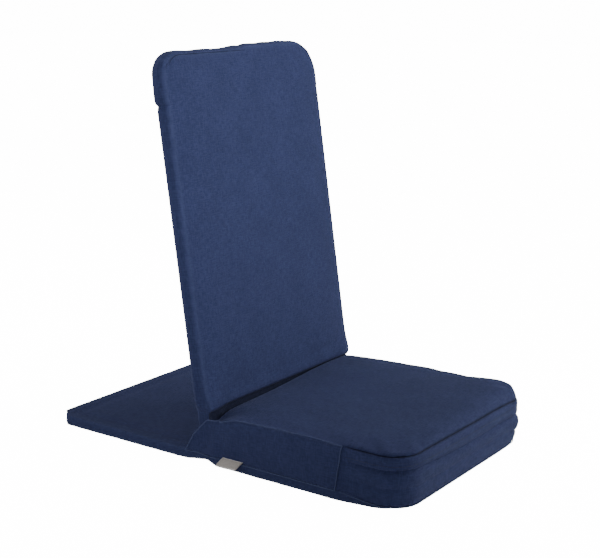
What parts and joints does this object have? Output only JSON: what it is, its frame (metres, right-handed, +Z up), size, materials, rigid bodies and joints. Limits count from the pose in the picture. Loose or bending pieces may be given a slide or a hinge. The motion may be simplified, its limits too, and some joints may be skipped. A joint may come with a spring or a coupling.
{
  "type": "floor cushion",
  "caption": "Legless floor chair: canvas seat cushion on a flat rigid base with a plug-in padded backrest, leaning slightly back.",
  "frame": {"origin": "middle of the footprint, on the floor", "axes": "+Z up, the sitter faces -Y, +X to the sitter's left"},
  "size_m": [0.38, 0.667, 0.6205],
  "materials": {
    "canvas": "plain-woven navy cotton canvas",
    "foam": "cream upholstery foam",
    "frame_steel": "black powder-coated steel tube",
    "firm_board": "grey closed-cell foam board",
    "zip_tape": "navy zip tape",
    "zip_coil": "navy nylon coil",
    "zip_slider": "plated zinc",
    "leg_cap": "black moulded plastic",
    "label": "grey woven tape, blank"
  },
  "bodies": {
    "base": {"base_bottom_panel": "canvas", "base_edge_band": "canvas", "base_top_panel": "canvas", "base_frame_tube": "frame_steel", "base_cross_tube_front": "frame_steel", "base_cross_tube_rear": "frame_steel", "socket_left": "frame_steel", "socket_right": "frame_steel", "base_board_front": "firm_board", "base_board_rear": "firm_board", "seat_foam": "foam", "seat_top_panel": "canvas", "seat_rear_panel": "canvas", "seat_side_panel_left": "canvas", "seat_side_panel_right": "canvas", "seat_lower_strip": "canvas", "seat_upper_strip": "canvas", "seat_zip_tape": "zip_tape", "seat_zip_coil": "zip_coil", "woven_label": "label"},
    "backrest": {"back_frame_tube": "frame_steel", "back_cross_tube": "frame_steel", "leg_cap_left": "leg_cap", "leg_cap_right": "leg_cap", "back_core": "firm_board", "back_edge_pad": "foam", "back_pad_front": "foam", "back_pad_rear": "foam", "back_panel_front": "canvas", "back_panel_rear": "canvas", "back_side_strip_left": "canvas", "back_side_strip_right": "canvas", "back_top_strip_front": "canvas", "back_top_strip_rear": "canvas", "back_zip_tape": "zip_tape", "back_zip_coil": "zip_coil"},
    "seat_slider": {"seat_zip_slider": "zip_slider"},
    "back_slider": {"back_zip_slider": "zip_slider"}
  },
  "joints": [
    {"name": "backrest_lift", "type": "slide", "parent": "base", "child": "backrest", "axis": [0, 0.1392, 0.9903], "range_m": [0, 0.12]},
    {"name": "seat_zip", "type": "slide", "parent": "base", "child": "seat_slider", "axis": [0, -1, 0], "range_m": [0, 0.044]},
    {"name": "back_zip", "type": "slide", "parent": "backrest", "child": "back_slider", "axis": [1, 0, 0], "range_m": [0, 0.29]}
  ]
}
